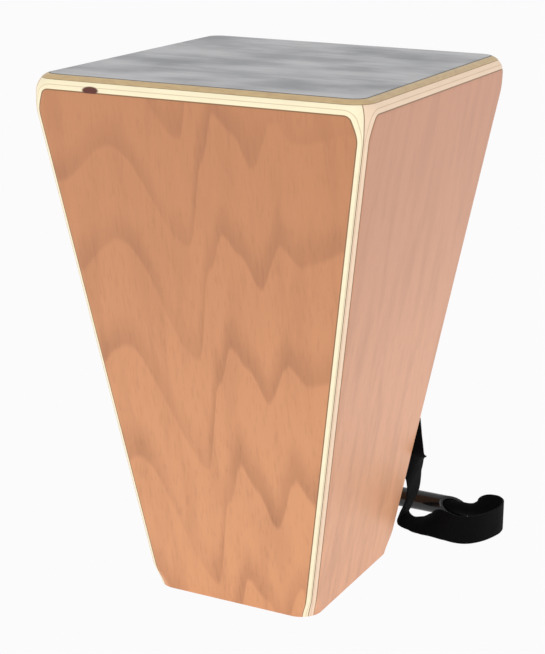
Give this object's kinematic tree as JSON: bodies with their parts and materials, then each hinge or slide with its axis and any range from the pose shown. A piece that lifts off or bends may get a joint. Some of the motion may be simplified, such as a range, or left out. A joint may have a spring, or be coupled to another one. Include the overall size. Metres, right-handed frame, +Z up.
{
  "type": "conga cajon",
  "caption": "Tapered wooden box drum with a black playing surface, mitred beech ply walls, an open base and a webbing strap with a sliding hose grip.",
  "frame": {"origin": "middle of the open base, on the floor", "axes": "+Z up to the playing surface, -Y out of the front wall, +X out of the right wall"},
  "size_m": [0.335, 0.3733, 0.5],
  "materials": {
    "front_wood": "satin varnish",
    "side_wood": "satin varnish",
    "pale_wood": "bare",
    "stained_wood": "stained black, semi-gloss",
    "steel": "plated",
    "webbing": "woven, matte",
    "rubber": "glossy"
  },
  "bodies": {
    "drum": {"top_plate": "stained_wood", "front_panel": "front_wood", "back_panel": "front_wood", "right_panel": "side_wood", "left_panel": "side_wood", "corner_batten_front_right": "pale_wood", "corner_batten_back_right": "pale_wood", "corner_batten_back_left": "pale_wood", "corner_batten_front_left": "pale_wood", "top_rail_front": "pale_wood", "top_rail_right": "pale_wood", "top_rail_back": "pale_wood", "top_rail_left": "pale_wood", "strap_clamp_right": "steel", "strap_clamp_left": "steel", "screw_right_a": "steel", "screw_right_b": "steel", "screw_left_a": "steel", "screw_left_b": "steel", "strap_webbing": "webbing"},
    "hose": {"hose_grip": "rubber"}
  },
  "joints": [
    {"name": "hose_slide", "type": "slide", "parent": "drum", "child": "hose", "axis": [1, 0, 0], "range_m": [-0.02, 0]}
  ]
}
